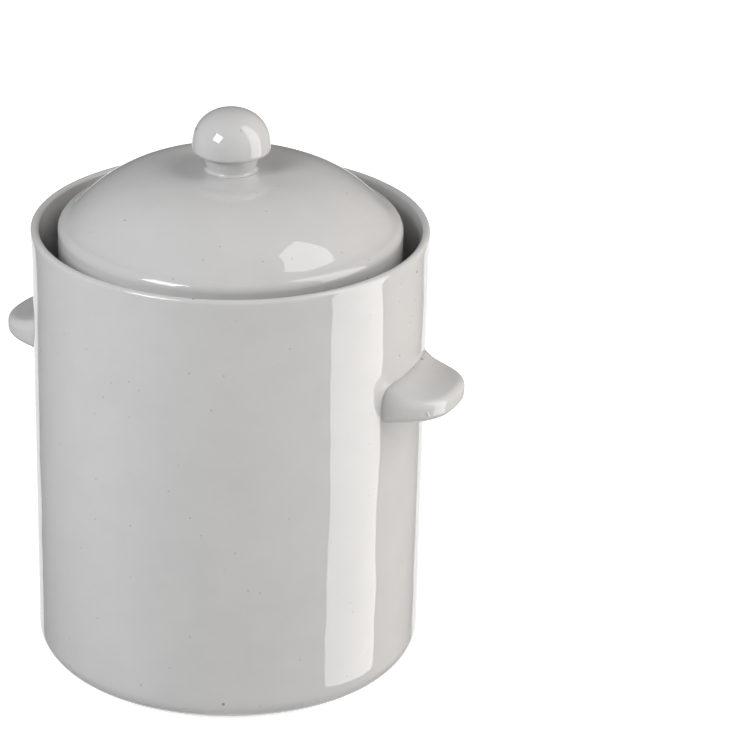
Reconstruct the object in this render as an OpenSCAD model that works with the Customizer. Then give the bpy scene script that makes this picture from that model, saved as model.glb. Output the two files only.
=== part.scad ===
// Water seal pickle jar: a straight stoneware crock with two lug handles, a water channel
// inside its rim, a domed lid whose skirt stands in that channel, and two half-moon weights.
// Millimetres, +Z up, origin at the middle of the flat foot, handles beside the X axis.

/* [Crock] */
// Outside diameter over the rim
rim_dia = 201; // [190:1:230]
// Height from the foot to the top of the rim
crock_h = 232; // [200:1:280]
// Thickness of the crock's wall
wall = 5.6; // [4.5:0.1:7]
// Thickness of the crock's floor
floor_t = 8; // [6:0.5:12]
// How far the rim stands out past the wall below it
lip_flare = 2.2; // [0.5:0.1:3]
// Height over which the wall spreads to the rim
lip_h = 25; // [18:1:30]
// Thickness of the rounded rim
lip_t = 4.6; // [4:0.1:5.4]
// How much smaller the radius is at the base than at the top of the wall
taper = 0.6; // [0.2:0.1:4]
// Radius of the rounding round the foot
foot_round = 12; // [6:0.5:18]
// Radius of the rounding between the inside of the wall and the floor
inner_round = 10; // [6:0.5:14]

/* [Water channel] */
// Depth from the top of the rim to the bottom of the channel
channel_depth = 34; // [30:1:50]
// Thickness of the channel's floor
channel_floor_t = 7; // [5:0.5:9]
// Height of the inner collar above the channel's floor
collar_h = 24; // [16:0.5:26]
// Thickness of the inner collar
collar_t = 5; // [4:0.5:7]
// Radius of the fillet at the foot of the inner collar
channel_fillet = 3; // [1:0.5:4]

/* [Lid] */
// Gap between the inside of the rim and the lid's skirt
lid_gap = 8.9; // [6:0.1:12]
// Thickness of the lid's skirt and dome
lid_t = 6; // [5:0.5:7]
// Gap between the inner collar and the inside of the skirt
collar_gap = 6.2; // [5.6:0.1:9]
// Height of the lid's flat crown above the rim
crown_rise = 29.6; // [24:0.1:40]
// Distance from the edge of the flat crown to the outside of the skirt
dome_reach = 60; // [56:0.5:64]
// Radius of the dome's curve
dome_round = 69; // [60:1:80]
// Slope of the dome's foot in degrees
dome_slope = 44; // [38:1:46]
// Radius of the rounded edge round the dome's foot
bead_r = 6; // [5:0.1:7]
// How far the middle of that rounded edge lies below the rim
bead_drop = 2.4; // [1:0.1:4]
// Radius of the hollow between the dome's foot and its rounded edge
bead_hollow = 8; // [3:0.5:9]
// Radius of the two gas notches in the skirt's lower edge
notch_r = 5; // [3:0.5:7]
// Clearance between a loose piece and the face that it rests on
seat_gap = 0.3; // [0.2:0.1:0.6]

/* [Knob] */
// Widest diameter of the knob
knob_dia = 39.6; // [36:0.2:46]
// Diameter of the knob's neck
neck_dia = 26.4; // [24:0.2:30]
// Diameter of the knob's foot on the lid's crown
knob_foot_dia = 35; // [32:0.2:42]
// Height of the straight part of the neck
neck_h = 5; // [0.5:0.1:8]
// Radius of the rounding under the knob's widest part
knob_under_round = 2.5; // [2:0.1:4]
// Height from the knob's widest part to its top
knob_cap_h = 19.6; // [14:0.1:24]
// Squareness of the knob's cap, 2 for half an ellipse
knob_power = 2.1; // [2:0.1:3]

/* [Handles] */
// How far the tip of a handle stands out past the rim
handle_out = 24.5; // [20:0.5:40]
// Width of a handle along the wall
handle_w = 58; // [40:1:70]
// Depth from the top of the rim to the middle of a handle's tip
handle_drop = 73; // [50:1:110]
// Thickness of a handle at its rounded edge
handle_edge_t = 11; // [9:0.5:15]
// Height of a handle where it grows out of the wall
handle_root_h = 21; // [19:0.5:30]
// Height of the handle's root that lies above the middle of its tip
handle_root_up = 12; // [9:0.5:18]
// Squareness of a handle seen from above, 2 for an ellipse
handle_power = 2.5; // [2:0.1:4]
// How far each handle is set round towards the back, in degrees
handle_turn = 2.1; // [0:0.1:4]

/* [Weights] */
// Gap between the weights and the inside of the wall
weight_clear = 7.6; // [4:0.1:15]
// Thickness of a weight
weight_t = 16; // [10:1:24]
// Gap between the straight sides of the two weights
weight_split = 3; // [1:0.5:10]
// Radius of the rounding on a weight's edges
weight_round = 4; // [1:0.5:4.5]

/* [Hidden] */
$fn = 96;

GLAZE = [0.70, 0.69, 0.67];
GLAZE_DARK = [0.63, 0.62, 0.61];
BISQUE = [0.82, 0.77, 0.68];

rim_r = rim_dia / 2;
wall_r = rim_r - lip_flare;
base_r = wall_r - taper;
wall_top_z = crock_h - lip_h;
lip_round = lip_t / 2;
lip_z = crock_h - lip_round;
rim_inner_r = rim_r - lip_t;

channel_z = crock_h - channel_depth;
channel_under_z = channel_z - channel_floor_t;

lid_r = rim_inner_r - lid_gap;
skirt_inner_r = lid_r - lid_t;
collar_r = skirt_inner_r - collar_gap;
mouth_r = collar_r - collar_t;
skirt_z = channel_z + seat_gap;
skirt_edge = 1.5;
crown_z = crock_h + crown_rise;
bead_z = crock_h - bead_drop;
bead_x = lid_r - bead_r;
crown_flat_r = lid_r - dome_reach;

knob_r = knob_dia / 2;
neck_r = neck_dia / 2;
knob_foot_r = knob_foot_dia / 2;
knob_foot_round = knob_foot_r - neck_r;
knob_wide_z = crown_z + knob_foot_round + neck_h + knob_under_round;

handle_z = crock_h - handle_drop;
handle_edge_r = handle_edge_t / 2;
handle_root_r = 4;
handle_sink = 5;
handle_inset = wall_r - handle_sink;
handle_reach = rim_r + handle_out - handle_edge_r - handle_inset;
handle_half_w = handle_w / 2 - handle_edge_r;

weight_r = base_r - wall - weight_clear;
weight_z = floor_t + seat_gap;

// Points of an arc about [x, y], from angle a0 to a1 in n steps
function arc(x, y, r, a0, a1, n = 8) =
    [for (i = [0:n]) let (a = a0 + (a1 - a0) * i / n) [x + r * cos(a), y + r * sin(a)]];

// Radius of the crock's outside and inside on its straight wall
function outer_r(z) = base_r + (wall_r - base_r) * (z - foot_round) / (wall_top_z - foot_round);
function inner_r(z) = outer_r(z) - wall;

// Wall that spreads by a given amount from wall_top_z up to the rounded rim, tangent below
function flare(r, spread, n = 6) =
    [for (i = [0:n]) [r + spread * pow(i / n, 2), wall_top_z + (lip_z - wall_top_z) * i / n]];

function reversed(points) = [for (i = [len(points) - 1:-1:0]) points[i]];

// Dome from the edge of its flat crown to its steepest slope, pressed in by the given depth
function dome_points(inset) =
    arc(crown_flat_r, crown_z - dome_round, dome_round - inset, 90, 90 - dome_slope, 16);

// Middle of the hollow that touches both the dome's straight foot and its rounded edge
function hollow_middle() =
    let (foot = dome_points(-bead_hollow)[16] - [bead_x, bead_z],
         down = [cos(dome_slope), -sin(dome_slope)],
         back = foot * down,
         t = -back - sqrt(back * back - foot * foot + pow(bead_r + bead_hollow, 2)))
    foot + t * down + [bead_x, bead_z];

function signed_pow(v, p) = sign(v) * pow(abs(v), p);

module crock_outline() {
    polygon(concat(
        [[0, 0]],
        arc(base_r - foot_round, foot_round, foot_round, -90, 0),
        flare(wall_r, lip_flare),
        arc(rim_r - lip_round, lip_z, lip_round, 15, 90, 5),
        [[0, crock_h]]));
}

module crock_hollow() {
    inner_wall_r = inner_r(floor_t + inner_round);
    polygon(concat(
        [[0, floor_t]],
        arc(inner_wall_r - inner_round, floor_t + inner_round, inner_round, -90, 0),
        flare(inner_r(wall_top_z), rim_inner_r - inner_r(wall_top_z)),
        arc(rim_inner_r + lip_round, lip_z, lip_round, 165, 90, 5),
        [[rim_inner_r + lip_round, crock_h + 1], [0, crock_h + 1]]));
}

module crock_body() {
    color(GLAZE) rotate_extrude() difference() {
        crock_outline();
        crock_hollow();
    }
}

// Channel floor and inner collar, thrown as one ring and joined to the wall
module water_channel() {
    color(GLAZE_DARK) rotate_extrude() polygon(concat(
        [[mouth_r, channel_under_z],
         [inner_r(channel_under_z), channel_under_z],
         [inner_r(channel_z), channel_z]],
        arc(collar_r + channel_fillet, channel_z + channel_fillet, channel_fillet, -90, -180, 4),
        arc(collar_r - collar_t / 2, channel_z + collar_h - collar_t / 2, collar_t / 2, 0, 180)));
}

// Ledge outline seen from above: t runs from -90 to 90 degrees round the handle's edge
function handle_edge(t, share) =
    [handle_inset + share * handle_reach * pow(cos(t), 2 / handle_power),
     handle_half_w * signed_pow(sin(t), 2 / handle_power)];

module handle_ledge() {
    hull() {
        for (t = [-90:15:90])
            translate([handle_edge(t, 1).x, handle_edge(t, 1).y, handle_z])
                sphere(r = handle_edge_r, $fn = 24);
    }
}

// Swelling that blends the ledge into the wall, above and below it
module handle_swell() {
    top_z = handle_z + handle_root_up - handle_root_r;
    hull() {
        for (t = [-90:30:90], z = [top_z, top_z - handle_root_h + 2 * handle_root_r])
            translate([handle_inset, handle_half_w * sin(t), z])
                sphere(r = handle_root_r, $fn = 20);
        for (t = [-60:30:60])
            translate([handle_edge(t, 0.62).x, handle_edge(t, 0.62).y, handle_z])
                sphere(r = handle_edge_r, $fn = 24);
    }
}

module handle() {
    color(GLAZE) difference() {
        union() {
            handle_ledge();
            handle_swell();
        }
        rotate_extrude() crock_outline();
    }
}

module handle_left() mirror([1, 0, 0]) handle_right();

module handle_right() rotate([0, 0, handle_turn]) handle();

module lid() {
    foot = dome_points(lid_t)[16];
    corner_z = foot.y - (skirt_inner_r - foot.x) * tan(dome_slope);
    hollow = hollow_middle();
    toward = atan2(hollow.y - bead_z, hollow.x - bead_x);
    color(GLAZE) difference() {
        rotate_extrude() polygon(concat(
            [[0, crown_z]],
            dome_points(0),
            arc(hollow.x, hollow.y, bead_hollow, 270 - dome_slope, 180 + toward, 6),
            arc(bead_x, bead_z, bead_r, toward, 0),
            arc(lid_r - skirt_edge, skirt_z + skirt_edge, skirt_edge, 0, -90, 4),
            arc(skirt_inner_r + skirt_edge, skirt_z + skirt_edge, skirt_edge, -90, -180, 4),
            [[skirt_inner_r, corner_z]],
            reversed(dome_points(lid_t)),
            [[0, crown_z - lid_t]]));
        translate([0, lid_r, skirt_z]) rotate([90, 0, 0])
            cylinder(r = notch_r, h = 2 * lid_r);
    }
}

module lid_knob() {
    color(GLAZE) rotate_extrude() polygon(concat(
        [[0, crown_z]],
        arc(knob_foot_r, crown_z + knob_foot_round, knob_foot_round, 270, 180),
        [[neck_r, knob_wide_z - knob_under_round]],
        arc(knob_r - knob_under_round, knob_wide_z, knob_under_round, -90, 0),
        [for (t = [6:6:90]) [knob_r * pow(cos(t), 2 / knob_power),
                             knob_wide_z + knob_cap_h * pow(sin(t), 2 / knob_power)]]));
}

// Half of a flat round disc with rounded edges, on the +X side
module weight() {
    color(BISQUE) intersection() {
        translate([0, 0, weight_z]) rotate_extrude() polygon(concat(
            [[0, 0]],
            arc(weight_r - weight_round, weight_round, weight_round, -90, 0, 5),
            arc(weight_r - weight_round, weight_t - weight_round, weight_round, 0, 90, 5),
            [[0, weight_t]]));
        translate([weight_split / 2, -weight_r, weight_z])
            cube([weight_r, 2 * weight_r, weight_t]);
    }
}

module weight_left() mirror([1, 0, 0]) weight();

module weight_right() weight();

crock_body();
water_channel();
handle_left();
handle_right();
lid();
lid_knob();
weight_left();
weight_right();
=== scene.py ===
"""A water seal pickle jar in pale glazed stoneware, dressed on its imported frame.

The crock, its water channel, both ears, the lid, the knob and the two weights are modelled
again in finer form, in metres, each in the place of the CAD node that it stands for.
"""

import math

import bpy
from bpy.props import FloatProperty, FloatVectorProperty, IntProperty, PointerProperty
from mathutils import Matrix, Vector


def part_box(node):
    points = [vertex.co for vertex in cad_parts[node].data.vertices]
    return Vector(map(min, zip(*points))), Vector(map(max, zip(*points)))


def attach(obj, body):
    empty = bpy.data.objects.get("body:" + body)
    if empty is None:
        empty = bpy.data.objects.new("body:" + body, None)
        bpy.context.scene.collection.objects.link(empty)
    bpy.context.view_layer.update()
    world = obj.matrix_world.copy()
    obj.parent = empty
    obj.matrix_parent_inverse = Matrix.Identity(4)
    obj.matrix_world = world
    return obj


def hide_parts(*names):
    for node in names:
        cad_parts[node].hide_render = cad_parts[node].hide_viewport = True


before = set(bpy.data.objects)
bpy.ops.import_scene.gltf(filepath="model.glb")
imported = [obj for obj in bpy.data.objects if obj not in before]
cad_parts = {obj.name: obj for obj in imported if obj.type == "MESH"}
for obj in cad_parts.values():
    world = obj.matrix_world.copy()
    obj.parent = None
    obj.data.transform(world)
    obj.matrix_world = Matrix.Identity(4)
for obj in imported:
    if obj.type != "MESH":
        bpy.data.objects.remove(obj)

bl_info = {
    "name": "Water Seal Pickle Jar",
    "version": (1, 0, 0),
    "blender": (4, 5, 0),
    "location": "View3D > Sidebar > Pickle Jar",
    "description": "Builds a glazed stoneware pickle jar with a water channel and its studio",
    "category": "Object",
}

CROCK_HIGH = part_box("crock_body")[1]
LID_LOW, LID_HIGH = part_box("lid")
KNOB_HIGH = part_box("lid_knob")[1]
WEIGHT_LOW, WEIGHT_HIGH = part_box("weight_right")
IMAGE_SIZE = 736
SENSOR_WIDTH = 36.0
FLOOR_SIZE = 16.0
MERGE_DISTANCE = 0.000002
UNEVENNESS_FADE = 0.006
BARE_FOOT = 0.0008
INSIDE_BELOW_RIM = 0.03
INSIDE_BEHIND_WALL = 0.003
INSIDE_ABOVE_FOOT = 0.004


def length(name, description, default):
    return FloatProperty(name=name, description=description, default=default, min=0.0,
                         subtype="DISTANCE", unit="LENGTH", precision=4)


def angle(name, description, degrees):
    return FloatProperty(name=name, description=description, default=math.radians(degrees),
                         subtype="ANGLE", unit="ROTATION")


def colour(name, description, default):
    return FloatVectorProperty(name=name, description=description, default=default, size=3,
                               min=0.0, max=1.0, subtype="COLOR")


def number(name, description, default):
    return FloatProperty(name=name, description=description, default=default, min=0.0)


class CrockSizes(bpy.types.PropertyGroup):
    rim_radius: length("Rim radius", "Outside radius of the rim", CROCK_HIGH[0])
    height: length("Height", "From the foot to the top of the rim", CROCK_HIGH[2])
    wall: length("Wall", "Thickness of the wall", 0.0056)
    floor: length("Floor", "Thickness of the floor", 0.008)
    lip_flare: length("Lip flare", "How far the rim stands out past the wall", 0.0006)
    lip_height: length("Lip height", "Height over which the wall spreads", 0.025)
    lip_thickness: length("Lip thickness", "Thickness of the rounded rim", 0.0046)
    taper: length("Taper", "How much smaller the base is than the top of the wall", 0.0013)
    foot_round: length("Foot rounding", "Radius of the rounding round the foot", 0.012)
    inner_round: length("Inner rounding", "Radius inside, between wall and floor", 0.010)
    channel_depth: length("Channel depth", "From the rim down to the channel", 0.034)
    channel_floor: length("Channel floor", "Thickness of the channel's floor", 0.007)
    collar_height: length("Collar height", "Height of the inner collar", 0.024)
    collar_thickness: length("Collar thickness", "Thickness of the inner collar", 0.005)
    collar_radius: length("Collar radius", "Outside radius of the inner collar", 0.0748)
    channel_fillet: length("Channel fillet", "Fillet at the foot of the collar", 0.003)
    turns: IntProperty(name="Facets", description="Facets round each thrown piece",
                       default=160, min=32)


class EarSizes(bpy.types.PropertyGroup):
    tip: length("Tip", "Distance from the jar's axis to the ear's tip", 0.1249)
    width: length("Width", "Width of an ear along the wall", 0.058)
    middle: length("Middle height", "Height of the middle of the ear's tip", 0.159)
    edge: length("Edge", "Thickness of the rounded edge", 0.011)
    inset: length("Inset", "Where the ear's outline starts, inside the wall", 0.0933)
    rise: length("Rise", "How far the top swells up to the wall", 0.0070)
    drop: length("Drop", "How far the underside swells down to the wall", 0.0035)
    spread: length("Spread", "How far out from the wall the swelling reaches", 0.024)
    squareness: number("Squareness", "2 is an ellipse seen from above, more is squarer", 2.6)
    edge_round: number("Edge rounding", "Share of half the thickness that is rounded", 0.72)
    turn: angle("Turn", "How far each ear is set round towards the back", 2.1)
    grid_out: length("Grid outwards", "Distance outwards from cut to cut", 0.0022)
    grid_beside: length("Grid beside", "Distance along the wall from cut to cut", 0.0025)
    fade: number("Fade", "How quickly the swelling fades outwards", 2.4)
    root_reach: length("Root reach", "How far out from the wall the ear widens", 0.006)
    root_widening: number("Root widening", "Share by which the ear widens at the wall", 0.05)


class LidSizes(bpy.types.PropertyGroup):
    radius: length("Radius", "Outside radius of the skirt", LID_HIGH[0])
    thickness: length("Thickness", "Thickness of the skirt and the dome", 0.006)
    skirt_foot: length("Skirt foot", "Height of the skirt's lower edge", LID_LOW[2])
    crown: length("Crown", "Height of the dome's crown", LID_HIGH[2])
    crown_flat: length("Flat crown", "Radius of the flat middle of the crown", 0.027)
    dome_round: length("Dome round", "Radius of the dome's curve", 0.069)
    dome_slope: angle("Dome slope", "Slope of the dome's foot", 44.0)
    bead_radius: length("Bead radius", "Radius of the rounded edge round the dome", 0.006)
    bead_height: length("Bead height", "Height of the middle of the rounded edge", 0.2296)
    bead_hollow: length("Bead hollow", "Hollow between the dome and its edge", 0.013)
    edge_round: length("Edge rounding", "Rounding of the skirt's lower edge", 0.0015)
    inner_corner: length("Inner corner", "Rounding inside, between skirt and dome", 0.002)
    notch: length("Notch radius", "Radius of the two gas notches", 0.005)
    knob_radius: length("Knob radius", "Widest radius of the knob", KNOB_HIGH[0])
    knob_top: length("Knob top", "Height of the top of the knob", KNOB_HIGH[2])
    neck_radius: length("Neck radius", "Radius of the neck at its foot", 0.0125)
    neck_flare: length("Neck flare", "How much wider the neck is at its top", 0.0018)
    knob_wide: length("Knob middle", "Height of the knob's widest part", 0.2734)
    foot_round: length("Knob foot rounding", "Rounding at the neck's foot", 0.0013)
    under_round: length("Knob rounding", "Rounding under the knob's widest part", 0.0025)
    cap_corner: length("Cap corner", "Rounding between the neck and the knob's underside", 0.0009)
    cap_power: number("Cap squareness", "2 is half an ellipse, more is squarer", 2.25)


class WeightSizes(bpy.types.PropertyGroup):
    radius: length("Radius", "Radius of the round side", WEIGHT_HIGH[0])
    low: length("Underside", "Height of the underside", WEIGHT_LOW[2])
    thickness: length("Thickness", "Thickness of a weight", WEIGHT_HIGH[2] - WEIGHT_LOW[2])
    split: length("Half gap", "From the middle to the straight side", WEIGHT_LOW[0])
    chamfer: length("Chamfer", "Small chamfer on every edge", 0.0001)


class JarColours(bpy.types.PropertyGroup):
    glaze: colour("Glaze", "Main colour of the glaze", (0.582, 0.580, 0.580))
    glaze_cloud: colour("Glaze cloud", "Colour of the faint clouds", (0.530, 0.529, 0.530))
    glaze_inside: colour("Inside glaze", "Colour inside the jar", (0.52, 0.50, 0.475))
    glaze_inside_cloud: colour("Inside cloud", "Clouds inside the jar", (0.46, 0.44, 0.415))
    speck: colour("Specks", "Colour of the iron specks", (0.10, 0.085, 0.07))
    clay: colour("Bare clay", "Colour of the unglazed clay", (0.60, 0.50, 0.38))
    clay_dark: colour("Dark clay", "Darker patches of the clay", (0.47, 0.385, 0.29))
    floor: colour("Floor", "Colour of the floor", (0.88, 0.88, 0.88))
    side_tint: colour("Side tint", "Tint of the tall light on the right", (1.0, 0.985, 0.965))
    room_cool: colour("Cool room", "Tint of the room's left", (0.96, 0.973, 1.0))
    room_warm: colour("Warm room", "Tint of the room's right", (1.0, 0.92, 0.81))


class StudioSettings(bpy.types.PropertyGroup):
    turn: angle("Turn", "How far the jar is turned to the camera", 26.28)
    distance: length("Camera distance", "From the jar's axis, level", 1.912836)
    camera_height: length("Camera height", "Above the floor", 0.999827)
    yaw: angle("Yaw", "Camera's aim to the right of the axis", 2.1076)
    pitch: angle("Pitch", "Camera's aim below the horizon", 23.8617)
    roll: angle("Roll", "Camera's roll", -1.2189)
    focal: number("Focal length", "Focal length in pixels of the picture", 4102.5)
    side_light: number("Side light", "Brightness of the tall light on the right", 2.85)
    side_place: angle("Side place", "How far right of the camera the tall light stands", 77)
    side_away: length("Side distance", "From the jar's axis to the tall light", 1.0)
    side_middle: length("Side middle", "Height of the middle of the tall light", 0.88)
    side_width: length("Side width", "Width of the tall light", 0.67)
    side_height: length("Side height", "Height of the tall light", 2.8)
    small_light: number("Small light", "Brightness of the small light on the left", 9.7)
    small_place: angle("Small place", "How far right of the camera the small light stands", -46)
    small_above: angle("Small rise", "How far above the level the small light stands", 36)
    small_away: length("Small distance", "From its aim to the small light", 1.2)
    small_width: length("Small width", "Width of the small light", 0.48)
    small_height: length("Small height", "Height of the small light", 0.45)
    small_roll: angle("Small roll", "How far the small light is rolled", -11.4592)
    small_aim: length("Small aim", "Height on the jar that the small light faces", 0.15)
    floor_glow: number("Floor glow", "Light that the floor adds for the camera alone", 0.78)
    room: number("Room", "Brightness of the dim front of the room", 0.115)
    left_wall: number("Left wall", "Brightness that the left of the room adds", 0.42)
    right_wall: number("Right wall", "Brightness that the right of the room adds", 0.58)
    backdrop: number("Backdrop", "Brightness of the backdrop behind the jar", 1.05)


GROUPS = {
    "jar_crock": CrockSizes,
    "jar_ears": EarSizes,
    "jar_lid": LidSizes,
    "jar_weights": WeightSizes,
    "jar_colours": JarColours,
    "jar_studio": StudioSettings,
}


def object_mode():
    if bpy.context.object and bpy.context.object.mode != "OBJECT":
        bpy.ops.object.mode_set(mode="OBJECT")
    bpy.ops.object.select_all(action="DESELECT")


def edit_mode():
    bpy.ops.object.mode_set(mode="EDIT")
    bpy.ops.mesh.select_mode(type="VERT")
    bpy.ops.mesh.select_all(action="SELECT")


def arc(x, z, radius, first, last, steps=10):
    """Points of an arc in a section, angles in degrees."""
    turns = [math.radians(first + (last - first) * i / steps) for i in range(steps + 1)]
    return [(x + radius * math.cos(t), z + radius * math.sin(t)) for t in turns]


def along(points, spacing):
    """The same line with no two points further apart than the spacing."""
    line = [points[0]]
    for point in points[1:]:
        start = line[-1]
        parts = max(1, math.ceil(math.dist(start, point) / spacing))
        for i in range(1, parts + 1):
            line.append(tuple(a + (b - a) * i / parts for a, b in zip(start, point)))
    return line


def chain(name, points):
    """A line of joined vertices, extruded one after the other from a single point."""
    object_mode()
    bpy.ops.mesh.primitive_plane_add(size=0.001, location=points[0])
    piece = bpy.context.object
    piece.name = name
    piece.data.name = name
    edit_mode()
    bpy.ops.mesh.merge(type="CENTER")
    for start, end in zip(points, points[1:]):
        step = tuple(b - a for a, b in zip(start, end))
        bpy.ops.mesh.extrude_region_move(TRANSFORM_OT_translate={"value": step})
    return piece


def throw(name, outline, turns, spacing=0.003):
    """Turns a section of (radius, height) points into a round piece, as on a potter's wheel."""
    line = along(outline, spacing)
    piece = chain(name, [(radius, 0.0, height) for radius, height in line])
    bpy.ops.mesh.select_all(action="SELECT")
    bpy.ops.mesh.spin(steps=turns, angle=2 * math.pi, center=(0, 0, 0), axis=(0, 0, 1))
    return close_up(piece)


def close_up(piece):
    """Merges what meets, points every face outwards and puts the object at the origin."""
    bpy.ops.mesh.select_all(action="SELECT")
    bpy.ops.mesh.remove_doubles(threshold=MERGE_DISTANCE)
    bpy.ops.mesh.dissolve_degenerate(threshold=MERGE_DISTANCE)
    bpy.ops.mesh.select_all(action="SELECT")
    bpy.ops.mesh.normals_make_consistent(inside=False)
    object_mode()
    piece.select_set(True)
    bpy.context.view_layer.objects.active = piece
    bpy.ops.object.transform_apply(location=True, rotation=True, scale=True)
    bpy.ops.object.shade_smooth()
    return piece


def finish_modifier(piece, modifier):
    """Applies a modifier that was just set up on the piece."""
    object_mode()
    piece.select_set(True)
    bpy.context.view_layer.objects.active = piece
    bpy.ops.object.modifier_apply(modifier=modifier.name)


def ripple(piece, depth, size, calm_below=None):
    """Presses a faint unevenness into the clay, never outwards past its true size."""
    texture = bpy.data.textures.new(piece.name + "_unevenness", "CLOUDS")
    texture.noise_scale = size
    texture.noise_depth = 1
    press = piece.modifiers.new("Unevenness", "DISPLACE")
    press.texture = texture
    press.texture_coords = "LOCAL"
    press.mid_level = 1.0
    press.strength = depth
    if calm_below is not None:
        group = piece.vertex_groups.new(name="unevenness")
        for vertex in piece.data.vertices:
            share = (vertex.co.z - calm_below) / UNEVENNESS_FADE
            group.add([vertex.index], min(1.0, max(0.0, share)), "REPLACE")
        press.vertex_group = group.name
    finish_modifier(piece, press)


def dress(piece, node, body, slot, *materials):
    """Gives the piece its finish and puts it in the place of its CAD node."""
    for material in materials:
        piece.data.materials.append(material)
    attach(piece, body)
    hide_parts(node)


def finish_faces(piece, finish, test):
    """Gives the faces that pass the test another of the piece's finishes, counted from 0."""
    for face in piece.data.polygons:
        if test(face):
            face.material_index = finish


def new_material(name):
    """An empty material with its output, its shader and the object's own coordinates."""
    material = bpy.data.materials.new(name)
    material.use_nodes = True
    tree = material.node_tree
    tree.nodes.clear()
    output = tree.nodes.new("ShaderNodeOutputMaterial")
    shader = tree.nodes.new("ShaderNodeBsdfPrincipled")
    place = tree.nodes.new("ShaderNodeTexCoord")
    tree.links.new(shader.outputs["BSDF"], output.inputs["Surface"])
    return material, tree, shader, place.outputs["Object"]


def noise(tree, place, scale, detail=2.0, roughness=0.5, stretch=(1, 1, 1)):
    """Fine noise on the object's coordinates, from 0 to 1."""
    mapping = tree.nodes.new("ShaderNodeMapping")
    mapping.inputs["Scale"].default_value = stretch
    node = tree.nodes.new("ShaderNodeTexNoise")
    node.inputs["Scale"].default_value = scale
    node.inputs["Detail"].default_value = detail
    node.inputs["Roughness"].default_value = roughness
    tree.links.new(place, mapping.inputs["Vector"])
    tree.links.new(mapping.outputs["Vector"], node.inputs["Vector"])
    return node.outputs["Fac"]


def ranged(tree, value, low, high, to_low, to_high):
    """Maps a value smoothly from one range to another."""
    node = tree.nodes.new("ShaderNodeMapRange")
    node.interpolation_type = "SMOOTHSTEP"
    for name, number_in in zip(("From Min", "From Max", "To Min", "To Max"),
                               (low, high, to_low, to_high)):
        node.inputs[name].default_value = number_in
    tree.links.new(value, node.inputs["Value"])
    return node.outputs["Result"]


def calculate(tree, operation, first, second):
    """One sum on two values, either of which may be a plain number."""
    node = tree.nodes.new("ShaderNodeMath")
    node.operation = operation
    for socket, value in zip(node.inputs, (first, second)):
        if isinstance(value, (int, float)):
            socket.default_value = value
        else:
            tree.links.new(value, socket)
    return node.outputs["Value"]


def blended(tree, share, first, second):
    """Mixes two colours, either of which may be a socket."""
    node = tree.nodes.new("ShaderNodeMix")
    node.data_type = "RGBA"
    tree.links.new(share, node.inputs[0])
    for socket, value in zip((node.inputs[6], node.inputs[7]), (first, second)):
        if isinstance(value, bpy.types.NodeSocket):
            tree.links.new(value, socket)
        else:
            socket.default_value = (*value, 1.0)
    return node.outputs[2]


def specks(tree, place, scale, radius, rarity):
    """Small round specks in some cells of a pattern, 1 in a speck and 0 outside it."""
    cells = tree.nodes.new("ShaderNodeTexVoronoi")
    cells.inputs["Scale"].default_value = scale
    tree.links.new(place, cells.inputs["Vector"])
    split = tree.nodes.new("ShaderNodeSeparateColor")
    tree.links.new(cells.outputs["Color"], split.inputs["Color"])
    chosen = ranged(tree, split.outputs["Red"], rarity, rarity + 0.02, 0.0, 1.0)
    spot = ranged(tree, cells.outputs["Distance"], radius * 0.6, radius, 1.0, 0.0)
    return calculate(tree, "MULTIPLY", chosen, spot)


def bumped(tree, shader, height, distance, strength=1.0):
    """Adds relief to the shader's surface."""
    bump = tree.nodes.new("ShaderNodeBump")
    bump.inputs["Strength"].default_value = strength
    bump.inputs["Distance"].default_value = distance
    tree.links.new(height, bump.inputs["Height"])
    if shader.inputs["Normal"].links:
        tree.links.new(shader.inputs["Normal"].links[0].from_socket, bump.inputs["Normal"])
    tree.links.new(bump.outputs["Normal"], shader.inputs["Normal"])


def glaze_finish(name, main, cloud, speck):
    """Glossy stoneware glaze: faint clouds and streaks, iron specks, pinholes and waves."""
    material, tree, shader, place = new_material(name)
    clouds = ranged(tree, noise(tree, place, 9.0, 3.0), 0.35, 0.7, 0.0, 1.0)
    mottle = ranged(tree, noise(tree, place, 55.0, 4.0, 0.6), 0.3, 0.75, 0.0, 0.55)
    streaks = ranged(tree, noise(tree, place, 10.0, 3.0, 0.55, (1, 1, 9)), 0.4, 0.7, 0.0, 0.15)
    depth = calculate(tree, "ADD", calculate(tree, "MULTIPLY", clouds, 0.55), mottle)
    depth = calculate(tree, "MULTIPLY", calculate(tree, "ADD", depth, streaks), 0.6)
    surface = blended(tree, depth, main, cloud)
    iron = specks(tree, place, 70.0, 0.075, 0.86)
    dust = specks(tree, place, 190.0, 0.12, 0.80)
    holes = specks(tree, place, 120.0, 0.10, 0.90)
    marks = calculate(tree, "MAXIMUM", calculate(tree, "MULTIPLY", iron, 0.62),
                      calculate(tree, "MULTIPLY", dust, 0.30))
    surface = blended(tree, marks, surface, speck)
    tree.links.new(surface, shader.inputs["Base Color"])
    shine = ranged(tree, noise(tree, place, 30.0, 3.0), 0.3, 0.8, 0.0, 0.015)
    tree.links.new(shine, shader.inputs["Roughness"])
    shader.inputs["IOR"].default_value = 1.5
    bumped(tree, shader, noise(tree, place, 34.0, 1.0, 0.4), 0.0005, 0.5)
    bumped(tree, shader, noise(tree, place, 150.0, 2.0, 0.5), 0.00002, 0.6)
    bumped(tree, shader, calculate(tree, "SUBTRACT", 1.0, holes), 0.0001, 0.5)
    return material


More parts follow.
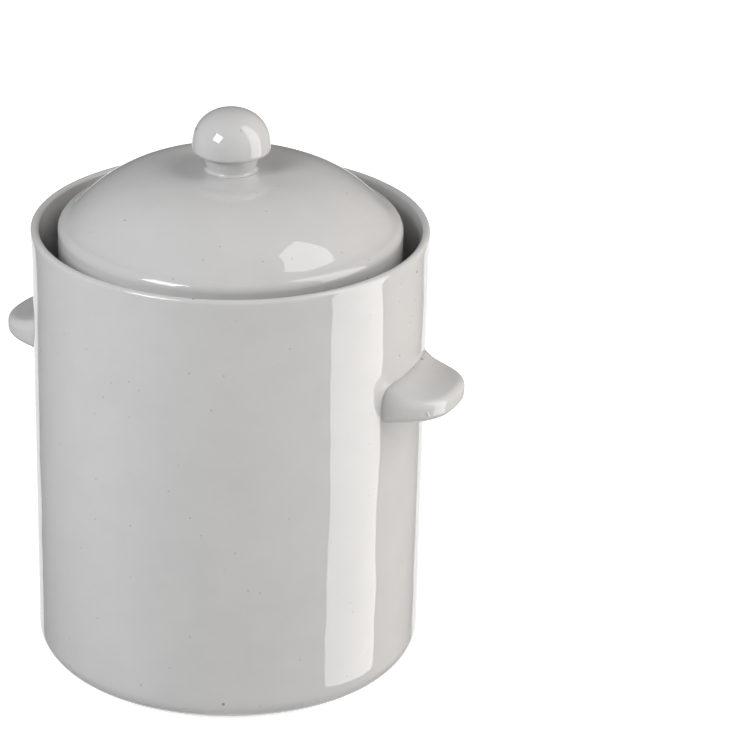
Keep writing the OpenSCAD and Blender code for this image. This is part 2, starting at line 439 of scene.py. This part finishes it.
def clay_finish(name, clay, dark, speck):
    """Bare fired clay: matt, grainy, with darker patches and iron specks."""
    material, tree, shader, place = new_material(name)
    patches = ranged(tree, noise(tree, place, 22.0, 4.0, 0.6), 0.35, 0.7, 0.0, 0.8)
    surface = blended(tree, patches, clay, dark)
    grain = ranged(tree, noise(tree, place, 420.0, 3.0, 0.7), 0.55, 0.75, 0.0, 0.35)
    surface = blended(tree, grain, surface, dark)
    iron = specks(tree, place, 110.0, 0.14, 0.75)
    surface = blended(tree, calculate(tree, "MULTIPLY", iron, 0.7), surface, speck)
    tree.links.new(surface, shader.inputs["Base Color"])
    rough = ranged(tree, noise(tree, place, 60.0, 3.0), 0.3, 0.8, 0.72, 0.92)
    tree.links.new(rough, shader.inputs["Roughness"])
    shader.inputs["IOR"].default_value = 1.45
    bumped(tree, shader, noise(tree, place, 700.0, 3.0, 0.7), 0.0003, 0.5)
    bumped(tree, shader, noise(tree, place, 90.0, 2.0), 0.0006, 0.4)
    return material


def finish_named(name):
    """The jar's finishes, made once and shared by its pieces."""
    title = "fine_" + name
    if title in bpy.data.materials:
        return bpy.data.materials[title]
    tones = bpy.context.scene.jar_colours
    if name == "glaze_grey":
        return glaze_finish(title, tones.glaze, tones.glaze_cloud, tones.speck)
    if name == "glaze_inside":
        return glaze_finish(title, tones.glaze_inside, tones.glaze_inside_cloud, tones.speck)
    return clay_finish(title, tones.clay, tones.clay_dark, tones.speck)


def wall_radius(crock, height):
    """Outside radius of the crock's straight wall at a height."""
    top = crock.height - crock.lip_height
    outer = crock.rim_radius - crock.lip_flare
    return outer - crock.taper * (top - height) / (top - crock.foot_round)


def flared(crock, radius, spread, steps=10):
    """The wall's last stretch, which spreads up to the rounded rim."""
    low = crock.height - crock.lip_height
    high = crock.height - crock.lip_thickness / 2
    shares = [i / steps for i in range(steps + 1)]
    return [(radius + spread * s * s, low + (high - low) * s) for s in shares]


class JAR_OT_crock(bpy.types.Operator):
    """Throw the straight-walled crock with its flared rim and rounded foot"""
    bl_idname = "jar.crock"
    bl_label = "Throw Crock"

    def execute(self, context):
        s = context.scene.jar_crock
        low = s.height - s.lip_height
        base = wall_radius(s, s.foot_round)
        top = wall_radius(s, low)
        half_lip = s.lip_thickness / 2
        rim_inside = s.rim_radius - s.lip_thickness
        bend = s.floor + s.inner_round
        inside = wall_radius(s, bend) - s.wall
        outline = [(0.0, 0.0)]
        outline += arc(base - s.foot_round, s.foot_round, s.foot_round, -90, 0, 14)
        outline += flared(s, top, s.lip_flare)
        outline += arc(s.rim_radius - half_lip, s.height - half_lip, half_lip, 15, 165, 14)
        outline += flared(s, top - s.wall, rim_inside - top + s.wall)[::-1]
        outline += arc(inside - s.inner_round, bend, s.inner_round, 0, -90, 10)
        outline.append((0.0, s.floor))
        crock = throw("crock", outline, s.turns)
        ripple(crock, depth=0.0004, size=0.045, calm_below=0.001)
        ripple(crock, depth=0.0001, size=0.014, calm_below=0.001)
        dress(crock, "crock_body", "crock", "glaze_grey",
              finish_named("glaze_grey"), finish_named("bare_stoneware"),
              finish_named("glaze_inside"))
        finish_faces(crock, 1, lambda face: face.center.z < BARE_FOOT and face.normal.z < -0.5)
        finish_faces(crock, 2, lambda face: self.is_inside(s, face.center))
        return {"FINISHED"}

    def is_inside(self, s, spot):
        """Tells whether a spot on the surface lies inside the jar, well below its rim."""
        across = math.hypot(spot.x, spot.y)
        deep = INSIDE_ABOVE_FOOT < spot.z < s.height - INSIDE_BELOW_RIM
        return deep and across < wall_radius(s, spot.z) - INSIDE_BEHIND_WALL


class JAR_OT_water_channel(bpy.types.Operator):
    """Throw the ring that makes the water channel's floor and inner collar"""
    bl_idname = "jar.water_channel"
    bl_label = "Throw Water Channel"

    def execute(self, context):
        s = context.scene.jar_crock
        floor = s.height - s.channel_depth
        under = floor - s.channel_floor
        half = s.collar_thickness / 2
        mouth = s.collar_radius - s.collar_thickness
        high = wall_radius(s, floor) - s.wall
        outline = [(mouth, under), (wall_radius(s, under) - s.wall, under), (high, floor + 0.001)]
        outline += arc(high - 0.001, floor + 0.001, 0.001, 0, -90, 4)
        outline += arc(s.collar_radius + s.channel_fillet, floor + s.channel_fillet,
                       s.channel_fillet, -90, -180, 6)
        outline += arc(s.collar_radius - half, floor + s.collar_height - half, half, 0, 180, 12)
        outline.append((mouth, under))
        channel = throw("channel_ring", outline, s.turns)
        dress(channel, "water_channel", "crock", "glaze_inside", finish_named("glaze_inside"))
        return {"FINISHED"}


class JAR_OT_ears(bpy.types.Operator):
    """Press out the two lug handles that grow from the wall"""
    bl_idname = "jar.ears"
    bl_label = "Press Out Ears"

    def execute(self, context):
        s = context.scene.jar_ears
        crock = context.scene.jar_crock
        half = s.edge / 2
        wall = wall_radius(crock, s.middle)
        reach = s.tip - s.inset
        back = s.inset - 0.002
        line = [(back, -s.width / 2, s.middle - half)]
        steps = 40
        for i in range(steps + 1):
            turn = math.radians(-90 + 180 * i / steps)
            out = max(0.0, math.cos(turn)) ** (2 / s.squareness)
            side = math.copysign(abs(math.sin(turn)) ** (2 / s.squareness), math.sin(turn))
            line.append((s.inset + reach * out, side * s.width / 2, s.middle - half))
        line.append((back, s.width / 2, s.middle - half))
        ear = chain("ear_right", line)
        bpy.ops.mesh.select_all(action="SELECT")
        bpy.ops.mesh.remove_doubles(threshold=0.0001)
        bpy.ops.mesh.edge_face_add()
        bpy.ops.mesh.extrude_region_move(TRANSFORM_OT_translate={"value": (0, 0, s.edge)})
        bpy.ops.mesh.select_all(action="SELECT")
        bpy.ops.mesh.normals_make_consistent(inside=False)
        self.round_edge(ear, s, half)
        self.cut_grid(s)
        self.swell(ear, s, wall)
        close_up(ear)
        ripple(ear, depth=0.0004, size=0.016)
        object_mode()
        ear.select_set(True)
        context.view_layer.objects.active = ear
        bpy.ops.object.duplicate()
        twin = context.object
        twin.name = "ear_left"
        twin.data.name = "ear_left"
        self.set_round(twin, math.pi - s.turn)
        self.set_round(ear, s.turn)
        dress(ear, "handle_right", "crock", "glaze_grey", finish_named("glaze_grey"))
        dress(twin, "handle_left", "crock", "glaze_grey", finish_named("glaze_grey"))
        return {"FINISHED"}

    def set_round(self, ear, turn):
        """Sets an ear round the jar's axis, seen from above against the clock."""
        object_mode()
        ear.select_set(True)
        bpy.context.view_layer.objects.active = ear
        edit_mode()
        bpy.ops.transform.rotate(value=-turn, orient_axis="Z", center_override=(0, 0, 0))
        close_up(ear)

    def round_edge(self, ear, s, half):
        """Rounds the ledge's outer edges above and below."""
        bpy.ops.mesh.select_mode(type="EDGE")
        bpy.ops.mesh.select_all(action="DESELECT")
        bpy.ops.object.mode_set(mode="OBJECT")
        spots = ear.data.vertices
        for edge in ear.data.edges:
            first, last = (spots[i].co + ear.location for i in edge.vertices)
            level = abs(first.z - last.z) < 0.0001
            at_back = max(first.x, last.x) < s.inset - 0.001
            edge.select = level and not at_back
        bpy.ops.object.mode_set(mode="EDIT")
        bpy.ops.mesh.bevel(offset=half * s.edge_round, offset_type="OFFSET", segments=8, profile=0.5,
                           affect="EDGES", clamp_overlap=False)

    def cut_grid(self, s):
        """Cuts the ledge into small fields, so that it can be shaped."""
        bpy.ops.mesh.select_mode(type="VERT")
        across = s.inset
        while across < s.tip - s.edge / 4:
            bpy.ops.mesh.select_all(action="SELECT")
            bpy.ops.mesh.bisect(plane_co=(across, 0, 0), plane_no=(1, 0, 0), threshold=1e-6)
            across += s.grid_out
        beside = -s.width / 2 + s.edge / 2
        while beside < s.width / 2 - s.edge / 4:
            bpy.ops.mesh.select_all(action="SELECT")
            bpy.ops.mesh.bisect(plane_co=(0, beside, 0), plane_no=(0, 1, 0), threshold=1e-6)
            beside += s.grid_beside

    def swell(self, ear, s, wall):
        """Draws the ledge up and down and widens it where it runs into the wall."""
        bpy.ops.object.mode_set(mode="OBJECT")
        origin = ear.location
        for vertex in ear.data.vertices:
            spot = vertex.co + origin
            gap = max(0.0, math.hypot(spot.x, spot.y) - wall)
            near = max(0.0, 1 - gap / s.spread) ** s.fade
            above = (spot.z - s.middle) / (s.edge / 2)
            lift = s.rise * max(0.0, above) - s.drop * max(0.0, -above)
            beside = min(1.0, abs(spot.y) / (s.width / 2))
            vertex.co.z += lift * near * (1 - 0.5 * beside ** 6)
            close = max(0.0, 1 - gap / s.root_reach) ** 2
            vertex.co.y *= 1 + s.root_widening * close * beside
        bpy.ops.object.mode_set(mode="EDIT")


class JAR_OT_lid(bpy.types.Operator):
    """Throw the domed lid with its rounded edge and its skirt, and cut the gas notches"""
    bl_idname = "jar.lid"
    bl_label = "Throw Lid"

    def execute(self, context):
        s = context.scene.jar_lid
        inside = s.radius - s.thickness
        low = s.skirt_foot
        edge = s.edge_round
        slope = math.degrees(s.dome_slope)
        bead = Vector((s.radius - s.bead_radius, s.bead_height))
        hollow = self.hollow_middle(s, bead)
        toward = math.degrees(math.atan2(hollow.y - bead.y, hollow.x - bead.x))
        outline = [(0.0, s.crown)] + self.dome(s, 0.0)
        outline += arc(*hollow, s.bead_hollow, 270 - slope, 180 + toward, 8)
        outline += arc(*bead, s.bead_radius, toward, 0, 14)
        outline += arc(s.radius - edge, low + edge, edge, 0, -90, 5)
        outline += arc(inside + edge, low + edge, edge, -90, -180, 5)
        under = self.dome(s, s.thickness)
        corner = under[-1][1] - (inside - under[-1][0]) * math.tan(s.dome_slope)
        bend = s.inner_corner
        outline += arc(inside - bend, corner - bend / 4, bend, 0, 90 - slope, 4)
        outline += under[::-1]
        outline.append((0.0, s.crown - s.thickness))
        lid = throw("lid_dome", outline, context.scene.jar_crock.turns)
        self.cut_notches(lid, s)
        ripple(lid, depth=0.0004, size=0.04, calm_below=low + 0.004)
        dress(lid, "lid", "lid", "glaze_grey",
              finish_named("glaze_grey"), finish_named("bare_stoneware"))
        finish_faces(lid, 1, lambda face: face.center.z < low + edge * 0.8)
        return {"FINISHED"}

    def dome(self, s, inset):
        """The dome's curve from its flat crown to its steepest slope, pressed in by the inset."""
        return arc(s.crown_flat, s.crown - s.dome_round, s.dome_round - inset,
                   90, 90 - math.degrees(s.dome_slope), 32)

    def hollow_middle(self, s, bead):
        """Middle of the hollow that touches the dome's straight foot and its rounded edge."""
        foot = Vector(self.dome(s, -s.bead_hollow)[-1]) - bead
        down = Vector((math.cos(s.dome_slope), -math.sin(s.dome_slope)))
        back = foot.dot(down)
        both = s.bead_radius + s.bead_hollow
        return bead + foot + down * (-back - math.sqrt(back * back - foot.dot(foot) + both ** 2))

    def cut_notches(self, lid, s):
        """Cuts two round notches through the skirt's lower edge, front and back."""
        object_mode()
        bpy.ops.mesh.primitive_cylinder_add(vertices=48, radius=s.notch, depth=2.2 * s.radius,
                                            location=(0, 0, s.skirt_foot),
                                            rotation=(math.pi / 2, 0, 0))
        cutter = bpy.context.object
        cut = lid.modifiers.new("Notches", "BOOLEAN")
        cut.operation = "DIFFERENCE"
        cut.solver = "EXACT"
        cut.object = cutter
        finish_modifier(lid, cut)
        bpy.data.objects.remove(cutter)


class JAR_OT_knob(bpy.types.Operator):
    """Throw the round knob with its neck"""
    bl_idname = "jar.knob"
    bl_label = "Throw Knob"

    def execute(self, context):
        s = context.scene.jar_lid
        foot = s.foot_round
        under = s.under_round
        wide = s.knob_wide
        cap = s.knob_top - wide
        corner = s.cap_corner
        high = s.neck_radius + s.neck_flare
        outline = [(0.0, s.crown)]
        outline += arc(s.neck_radius + foot, s.crown + foot, foot, 270, 180, 8)
        outline += arc(high + corner, wide - under - corner, corner, 180, 90, 4)
        outline += arc(s.knob_radius - under, wide, under, -90, 0, 8)
        power = 2 / s.cap_power
        steps = 40
        for i in range(1, steps + 1):
            turn = math.radians(90 * i / steps)
            outline.append((s.knob_radius * abs(math.cos(turn)) ** power,
                            wide + cap * math.sin(turn) ** power))
        outline[-1] = (0.0, s.knob_top)
        knob = throw("knob", outline, 96, spacing=0.0012)
        ripple(knob, depth=0.00025, size=0.02)
        dress(knob, "lid_knob", "lid", "glaze_grey", finish_named("glaze_grey"))
        return {"FINISHED"}


class JAR_OT_weights(bpy.types.Operator):
    """Press the two half-moon weights that keep the food under the brine"""
    bl_idname = "jar.weights"
    bl_label = "Press Weights"

    def execute(self, context):
        s = context.scene.jar_weights
        for side, name, node in ((1, "weight_right_disc", "weight_right"),
                                 (-1, "weight_left_disc", "weight_left")):
            object_mode()
            bpy.ops.mesh.primitive_cylinder_add(
                vertices=144, radius=s.radius, depth=s.thickness,
                location=(0, 0, s.low + s.thickness / 2))
            weight = context.object
            weight.name = name
            weight.data.name = name
            edit_mode()
            bpy.ops.mesh.bisect(plane_co=(side * s.split, 0, 0), plane_no=(-side, 0, 0),
                                use_fill=True, clear_outer=True)
            bpy.ops.mesh.select_all(action="SELECT")
            bpy.ops.mesh.bevel(offset=s.chamfer, segments=1)
            close_up(weight)
            bpy.ops.object.shade_smooth_by_angle(angle=math.radians(40))
            body = "weight_right" if side > 0 else "weight_left"
            dress(weight, node, body, "bare_stoneware", finish_named("bare_stoneware"))
        return {"FINISHED"}


def studio_direction(turn, beside, above=0.0):
    """Direction from the jar, in degrees to the right of the camera and above the level."""
    around = turn + math.radians(beside)
    up = math.radians(above)
    return Vector((math.sin(around) * math.cos(up), -math.cos(around) * math.cos(up),
                   math.sin(up)))


class JAR_OT_stage(bpy.types.Operator):
    """Set up the floor, the soft lights, the pale room and the camera"""
    bl_idname = "jar.stage"
    bl_label = "Set Stage"

    def execute(self, context):
        s = context.scene.jar_studio
        tones = context.scene.jar_colours
        self.floor(s, tones)
        middle = Vector((0, 0, s.side_middle))
        away = studio_direction(s.turn, math.degrees(s.side_place)) * s.side_away
        self.lamp("side_light", middle + away, middle,
                  s.side_width, s.side_height, s.side_light, tones.side_tint)
        aim = Vector((0, 0, s.small_aim))
        toward = studio_direction(s.turn, math.degrees(s.small_place),
                                  math.degrees(s.small_above))
        self.lamp("small_light", aim + toward * s.small_away, aim,
                  s.small_width, s.small_height, s.small_light, (1, 1, 1), s.small_roll)
        self.room(context.scene, s, tones)
        self.camera(context.scene, s)
        return {"FINISHED"}

    def floor(self, s, tones):
        """A pale floor that keeps the jar's soft shadow and shows white to the camera."""
        object_mode()
        bpy.ops.mesh.primitive_plane_add(size=FLOOR_SIZE, location=(0, 0, 0))
        floor = bpy.context.object
        floor.name = "studio_floor"
        floor.visible_glossy = False
        material = bpy.data.materials.new("studio_floor")
        material.use_nodes = True
        tree = material.node_tree
        shader = tree.nodes["Principled BSDF"]
        shader.inputs["Base Color"].default_value = (*tones.floor, 1.0)
        shader.inputs["Roughness"].default_value = 0.9
        path = tree.nodes.new("ShaderNodeLightPath")
        shader.inputs["Emission Color"].default_value = (1, 1, 1, 1)
        glow = calculate(tree, "MULTIPLY", path.outputs["Is Camera Ray"], s.floor_glow)
        tree.links.new(glow, shader.inputs["Emission Strength"])
        floor.data.materials.append(material)

    def lamp(self, name, place, target, width, height, brightness, tint, roll=0.0):
        """A soft light with an even face, whose power follows from its size."""
        object_mode()
        bpy.ops.object.light_add(type="AREA", location=place)
        lamp = bpy.context.object
        lamp.name = name
        lamp.data.shape = "RECTANGLE"
        lamp.data.size = width
        lamp.data.size_y = height
        lamp.data.energy = 4 * width * height * brightness
        lamp.data.color = tint
        face = (place - target).to_track_quat("Z", "Y").to_matrix().to_4x4()
        lamp.matrix_world = Matrix.Translation(place) @ face @ Matrix.Rotation(roll, 4, "Z")
        lamp.visible_camera = False

    def room(self, scene, s, tones):
        """A pale room: white low behind the jar, bright at both sides, dim behind the camera."""
        world = bpy.data.worlds.new("studio_room")
        scene.world = world
        world.use_nodes = True
        tree = world.node_tree
        background = tree.nodes["Background"]
        way = tree.nodes.new("ShaderNodeTexCoord").outputs["Generated"]
        height = self.facing(tree, way, (0, 0, 1))
        level = tree.nodes.new("ShaderNodeVectorMath")
        level.operation = "MULTIPLY"
        level.inputs[1].default_value = (1, 1, 0)
        tree.links.new(way, level.inputs[0])
        compass = tree.nodes.new("ShaderNodeVectorMath")
        compass.operation = "NORMALIZE"
        tree.links.new(level.outputs["Vector"], compass.inputs[0])
        compass = compass.outputs["Vector"]
        # The backdrop fades out between 24 and 28 degrees to either side of its middle
        behind = ranged(tree, self.facing(tree, compass, studio_direction(s.turn, 180)),
                        0.885, 0.91, 0.0, 1.0)
        behind = calculate(tree, "MULTIPLY", behind, ranged(tree, height, -0.3, -0.18, 1.0, 0.0))
        left = ranged(tree, self.facing(tree, way, studio_direction(s.turn, -85, 25)),
                      0.35, 0.95, 0.0, s.left_wall)
        left = calculate(tree, "MULTIPLY", left, ranged(tree, height, -0.45, 0.1, 0.1, 1.0))
        right = ranged(tree, self.facing(tree, way, studio_direction(s.turn, 110, 10)),
                       0.5, 0.95, 0.0, s.right_wall)
        sides = calculate(tree, "ADD", left, right)
        dim = calculate(tree, "ADD", sides, ranged(tree, height, 0.1, 0.9, s.room, 0.6 * s.room))
        lit = calculate(tree, "MULTIPLY", behind, s.backdrop)
        light = calculate(tree, "MAXIMUM", dim, lit)
        path = tree.nodes.new("ShaderNodeLightPath")
        shown = calculate(tree, "MAXIMUM", path.outputs["Is Camera Ray"],
                          path.outputs["Is Transmission Ray"])
        mirrored = calculate(tree, "MULTIPLY", path.outputs["Is Glossy Ray"], behind)
        shown = calculate(tree, "MAXIMUM", shown, mirrored)
        strength = tree.nodes.new("ShaderNodeMix")
        tree.links.new(shown, strength.inputs[0])
        tree.links.new(light, strength.inputs[2])
        strength.inputs[3].default_value = 1.0
        tree.links.new(strength.outputs[0], background.inputs["Strength"])
        warm = ranged(tree, self.facing(tree, compass, studio_direction(s.turn, 90)),
                      -0.2, 0.9, 0.0, 1.0)
        tint = blended(tree, warm, tones.room_cool, tones.room_warm)
        tree.links.new(blended(tree, shown, tint, (1, 1, 1)), background.inputs["Color"])

    def facing(self, tree, way, direction):
        """How far a direction in the room faces the given one, from -1 to 1."""
        node = tree.nodes.new("ShaderNodeVectorMath")
        node.operation = "DOT_PRODUCT"
        tree.links.new(way, node.inputs[0])
        node.inputs[1].default_value = direction
        return node.outputs["Value"]

    def camera(self, scene, s):
        """The camera as fitted to the photograph, whose frame is 736 pixels square."""
        level = Vector((math.sin(s.yaw), math.cos(s.yaw), 0))
        ahead = level * math.cos(s.pitch) - Vector((0, 0, math.sin(s.pitch)))
        right = Vector((math.cos(s.yaw), -math.sin(s.yaw), 0))
        down = ahead.cross(right)
        tilted_right = right * math.cos(s.roll) + down * math.sin(s.roll)
        tilted_up = right * math.sin(s.roll) - down * math.cos(s.roll)
        frame_axes = Matrix((tilted_right, tilted_up, -ahead)).transposed().to_4x4()
        place = Matrix.Translation((0, -s.distance, s.camera_height))
        object_mode()
        bpy.ops.object.camera_add()
        camera = bpy.context.object
        camera.name = "studio_camera"
        camera.matrix_world = Matrix.Rotation(s.turn, 4, "Z") @ place @ frame_axes
        camera.data.sensor_fit = "HORIZONTAL"
        camera.data.sensor_width = SENSOR_WIDTH
        camera.data.lens = s.focal * SENSOR_WIDTH / IMAGE_SIZE
        camera.data.clip_end = 50.0
        scene.camera = camera
        scene.view_settings.view_transform = "Standard"


class JAR_PT_panel(bpy.types.Panel):
    """Lists the jar's pieces and their sizes"""
    bl_idname = "JAR_PT_panel"
    bl_label = "Pickle Jar"
    bl_space_type = "VIEW_3D"
    bl_region_type = "UI"
    bl_category = "Pickle Jar"

    def draw(self, context):
        for operator in OPERATORS:
            self.layout.operator(operator.bl_idname)
        for group, kind in GROUPS.items():
            box = self.layout.box()
            box.label(text=kind.__name__)
            settings = getattr(context.scene, group)
            for name in kind.__annotations__:
                box.prop(settings, name)


OPERATORS = (
    JAR_OT_crock,
    JAR_OT_water_channel,
    JAR_OT_ears,
    JAR_OT_lid,
    JAR_OT_knob,
    JAR_OT_weights,
    JAR_OT_stage,
)


def register():
    for kind in (*GROUPS.values(), *OPERATORS, JAR_PT_panel):
        bpy.utils.register_class(kind)
    for group, kind in GROUPS.items():
        setattr(bpy.types.Scene, group, PointerProperty(type=kind))


def unregister():
    for group in GROUPS:
        delattr(bpy.types.Scene, group)
    for kind in (JAR_PT_panel, *reversed(OPERATORS), *reversed(GROUPS.values())):
        bpy.utils.unregister_class(kind)


def main():
    register()
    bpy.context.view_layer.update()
    bpy.ops.jar.crock()
    bpy.ops.jar.water_channel()
    bpy.ops.jar.ears()
    bpy.ops.jar.lid()
    bpy.ops.jar.knob()
    bpy.ops.jar.weights()
    bpy.ops.jar.stage()
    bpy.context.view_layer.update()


if __name__ == "__main__":
    main()
